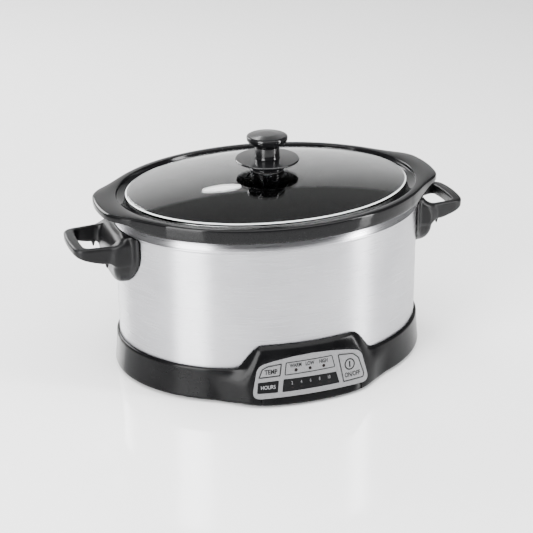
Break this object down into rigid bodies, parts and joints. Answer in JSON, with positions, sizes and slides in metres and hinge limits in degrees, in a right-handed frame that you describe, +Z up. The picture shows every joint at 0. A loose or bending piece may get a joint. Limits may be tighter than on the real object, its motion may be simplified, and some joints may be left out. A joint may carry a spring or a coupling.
{
  "type": "slow cooker",
  "caption": "Oval countertop slow cooker: silver shell, lift-out black stoneware crock, domed glass lid with knob, side handles and a key panel on the base.",
  "frame": {"origin": "middle of the footprint, at the level the feet stand on", "axes": "+X towards the right handle, -Y towards the user and the key panel, +Z up"},
  "size_m": [0.435, 0.2772, 0.245],
  "materials": {
    "shell_steel": "satin silver, fine brushing",
    "well_aluminium": "plain drawn sheet",
    "heater_mica": "mica band",
    "glass_fibre": "woven glass fibre",
    "plated_steel": "zinc plated",
    "brass_tabs": "plain",
    "base_black": "semi-gloss moulded",
    "handle_black": "satin moulded",
    "knob_black": "gloss moulded",
    "foot_rubber": "matt",
    "panel_grey": "fine speckled silver grey film",
    "display_black": "gloss film",
    "carrier_black": "moulded",
    "lamp_lens": "smoked lens",
    "board_green": "printed circuit board",
    "crock_glaze": "black gloss glaze",
    "lid_glass": "clear tempered glass, ground edge",
    "ribbon_grey": "flat cable"
  },
  "bodies": {
    "root": {"outer_shell": "shell_steel", "heating_well": "well_aluminium", "heating_band": "heater_mica", "heater_blanket": "glass_fibre", "heater_strap": "plated_steel", "heater_tabs": "brass_tabs", "base_housing": "base_black", "lower_trim": "base_black", "bottom_plate": "base_black", "bottom_screws": "plated_steel", "foot_front_left": "foot_rubber", "foot_rear_left": "foot_rubber", "foot_front_right": "foot_rubber", "foot_rear_right": "foot_rubber", "cord_gland": "foot_rubber", "panel_overlay": "panel_grey", "panel_carrier": "carrier_black", "display_window": "display_black", "status_lamps": "lamp_lens", "hour_lamps": "lamp_lens", "control_board": "board_green", "key_switches": "carrier_black", "board_screws": "plated_steel", "right_handle": "handle_black", "left_handle": "handle_black", "handle_plates": "plated_steel", "handle_screws": "plated_steel", "heat_shield": "plated_steel", "shield_posts": "plated_steel", "shield_screws": "plated_steel", "well_spacers": "plated_steel", "temperature_sensor": "well_aluminium", "sensor_spring": "plated_steel", "sensor_post": "carrier_black", "thermal_fuse": "brass_tabs", "fuse_clip": "plated_steel", "power_board": "board_green", "board_posts": "carrier_black", "power_board_screws": "plated_steel", "power_relay": "carrier_black", "filter_capacitor": "carrier_black", "smoothing_capacitor": "carrier_black", "terminal_block": "carrier_black", "cord_clamp": "carrier_black", "ribbon_cable": "ribbon_grey"},
    "crock": {"crock": "crock_glaze"},
    "lid": {"lid_glass": "lid_glass", "knob_gasket": "foot_rubber", "knob_flange": "knob_black", "knob_stem": "knob_black", "knob_cap": "knob_black", "knob_washer": "plated_steel", "knob_screw": "plated_steel"},
    "temp_key": {"temp_key": "panel_grey"},
    "hours_key": {"hours_key": "display_black"},
    "power_key": {"power_key": "panel_grey"}
  },
  "joints": [
    {"name": "crock_lift", "type": "slide", "parent": "root", "child": "crock", "axis": [0, 0, 1], "range_m": [0, 0.2]},
    {"name": "lid_lift", "type": "slide", "parent": "crock", "child": "lid", "axis": [0, 0, 1], "range_m": [0, 0.15]},
    {"name": "temp_press", "type": "slide", "parent": "root", "child": "temp_key", "axis": [0, 0.9781, -0.2079], "range_m": [0, 0.0006], "stiffness_N_per_m": 600, "springref_m": -0.0004},
    {"name": "hours_press", "type": "slide", "parent": "root", "child": "hours_key", "axis": [0, 0.9781, -0.2079], "range_m": [0, 0.0006], "stiffness_N_per_m": 600, "springref_m": -0.0004},
    {"name": "power_press", "type": "slide", "parent": "root", "child": "power_key", "axis": [0, 0.9781, -0.2079], "range_m": [0, 0.0006], "stiffness_N_per_m": 600, "springref_m": -0.0004}
  ]
}
